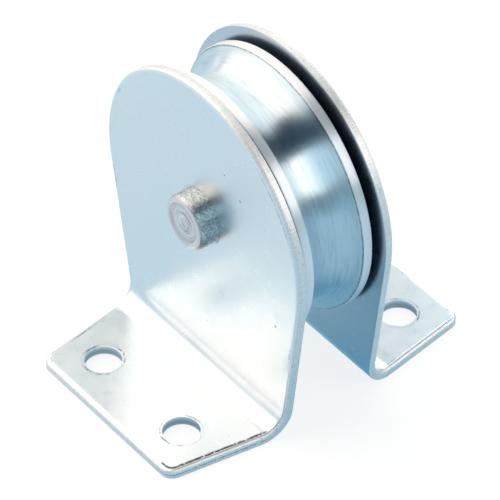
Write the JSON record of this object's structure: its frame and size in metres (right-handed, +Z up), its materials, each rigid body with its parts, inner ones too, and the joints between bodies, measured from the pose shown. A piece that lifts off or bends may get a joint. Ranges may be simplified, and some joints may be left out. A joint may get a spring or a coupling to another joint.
{
  "type": "upright mount rope pulley block",
  "caption": "Upright pulley block: a grooved steel sheave on a ball bearing, held by a fixed pin between two bolt-down sheet brackets.",
  "frame": {"origin": "centre of the block on its base plane, midway between the two feet, under the axle", "axes": "+Z up from the base, Y along the axle with the near bracket at -Y, and X along the rope's run, so that the sheave turns in the XZ plane"},
  "size_m": [0.0688, 0.082, 0.0799],
  "materials": {
    "zinc_sheet": "bright blue-white zinc plate on formed sheet, satin",
    "zinc_turned": "bright zinc plate over fine turning marks",
    "pin_steel": "rough plated steel with a turned end face",
    "spacer_steel": "plain turned steel",
    "race_steel": "ground bearing steel",
    "ball_steel": "polished bearing steel",
    "cage_steel": "pressed steel ribbon",
    "shield_steel": "pressed and plated shield",
    "spring_steel": "blackened spring steel"
  },
  "bodies": {
    "frame": {"near_bracket": "zinc_sheet", "far_bracket": "zinc_sheet", "axle_pin": "pin_steel", "near_spacer": "spacer_steel", "far_spacer": "spacer_steel", "bearing_inner_ring": "race_steel"},
    "sheave": {"sheave": "zinc_turned", "retaining_ring": "spring_steel", "bearing_outer_ring": "race_steel", "near_shield": "shield_steel", "far_shield": "shield_steel"},
    "ball_cage": {"near_cage_half": "cage_steel", "far_cage_half": "cage_steel", "cage_rivets": "cage_steel", "ball_1": "ball_steel", "ball_2": "ball_steel", "ball_3": "ball_steel", "ball_4": "ball_steel", "ball_5": "ball_steel", "ball_6": "ball_steel", "ball_7": "ball_steel"}
  },
  "joints": [
    {"name": "sheave_spin", "type": "hinge", "parent": "frame", "child": "sheave", "pos_m": [0, 0, 0.0455], "axis": [0, 1, 0], "continuous": true},
    {"name": "cage_spin", "type": "hinge", "parent": "frame", "child": "ball_cage", "pos_m": [0, 0, 0.0455], "axis": [0, 1, 0], "continuous": true}
  ],
  "couplings": [
    {"joint": "cage_spin", "follows": "sheave_spin", "ratio": 0.6353}
  ]
}
